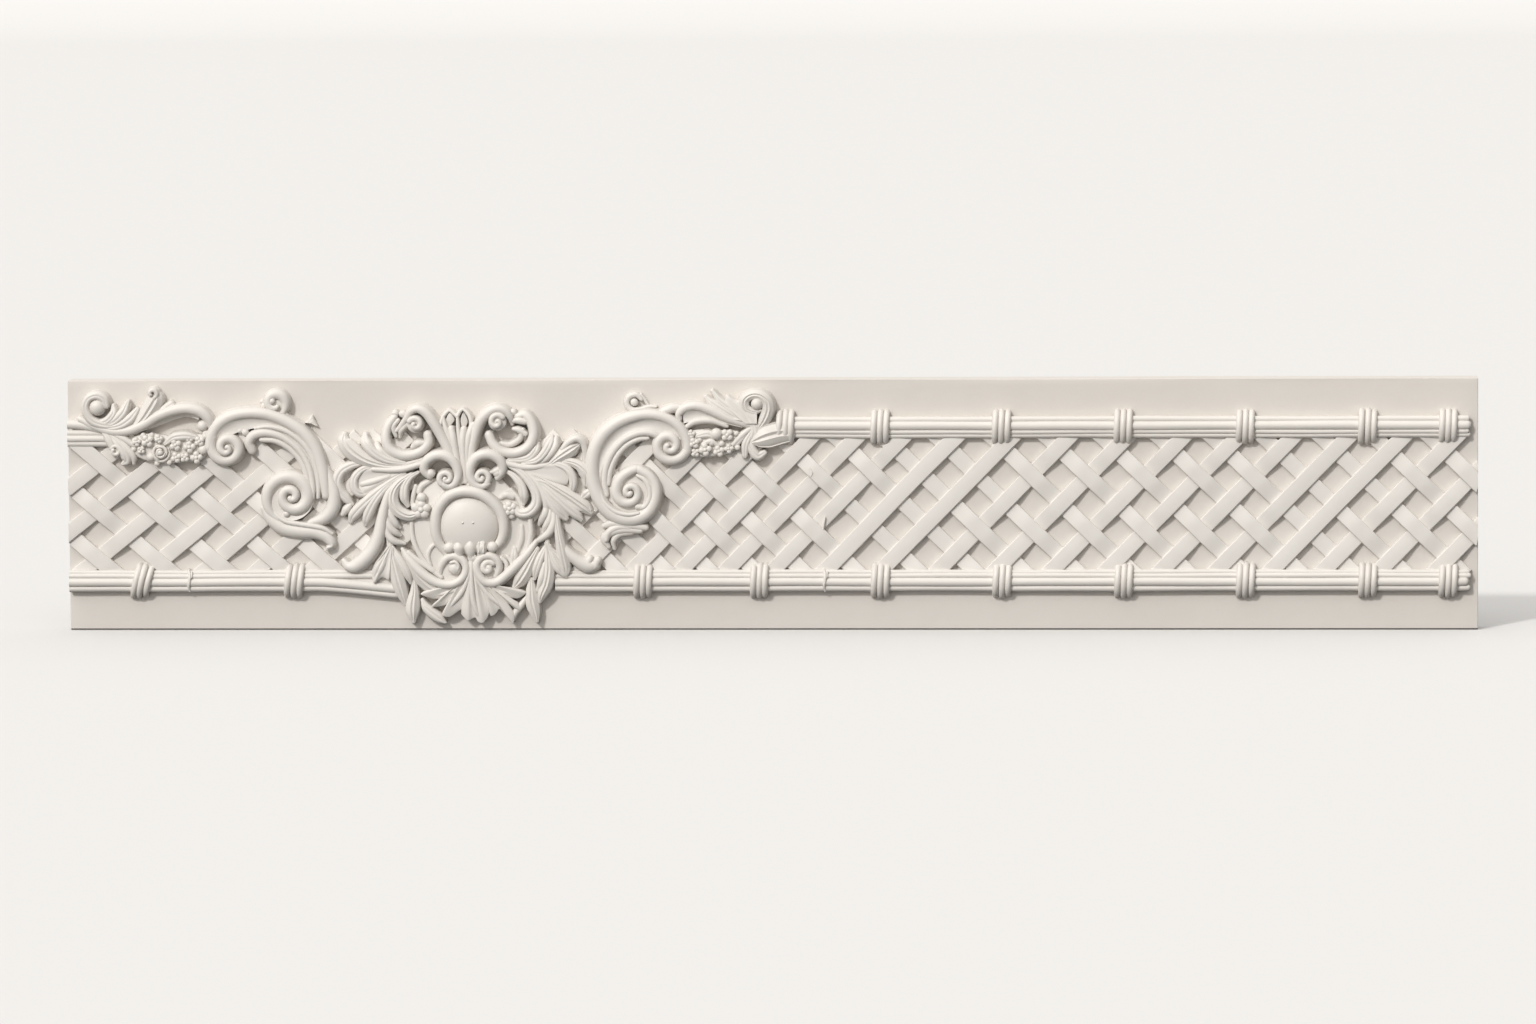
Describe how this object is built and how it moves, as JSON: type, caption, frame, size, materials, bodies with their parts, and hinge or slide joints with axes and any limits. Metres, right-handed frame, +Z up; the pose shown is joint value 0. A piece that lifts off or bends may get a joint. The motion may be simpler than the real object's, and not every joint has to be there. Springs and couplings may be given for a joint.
{
  "type": "crown moulding",
  "caption": "Frieze length of crown moulding: a flat board with woven lattice between reeded rails, a domed cartouche, leafy sprays and C-scrolls in relief.",
  "frame": {"origin": "centre of the board's underside, midway along the length and midway between the board's front and back faces", "axes": "+X along the moulding, to the right as seen from its carved front; +Y out of the flat back, into the wall; +Z up, from the lower to the upper edge"},
  "size_m": [1, 0.0407, 0.178],
  "materials": {
    "plaster_board": "matte",
    "plaster_relief": "matte"
  },
  "bodies": {
    "root": {"backing_board": "plaster_board", "basketweave_lattice_left": "plaster_relief", "basketweave_lattice_right": "plaster_relief", "lower_reed_rail_left": "plaster_relief", "lower_reed_rail_right": "plaster_relief", "upper_reed_rail_left": "plaster_relief", "upper_reed_rail_right": "plaster_relief", "central_cartouche": "plaster_relief", "left_c_scroll": "plaster_relief", "right_c_scroll": "plaster_relief", "left_garland_spray": "plaster_relief", "right_garland_spray": "plaster_relief", "left_curl": "plaster_relief", "right_curl": "plaster_relief"}
  },
  "joints": []
}
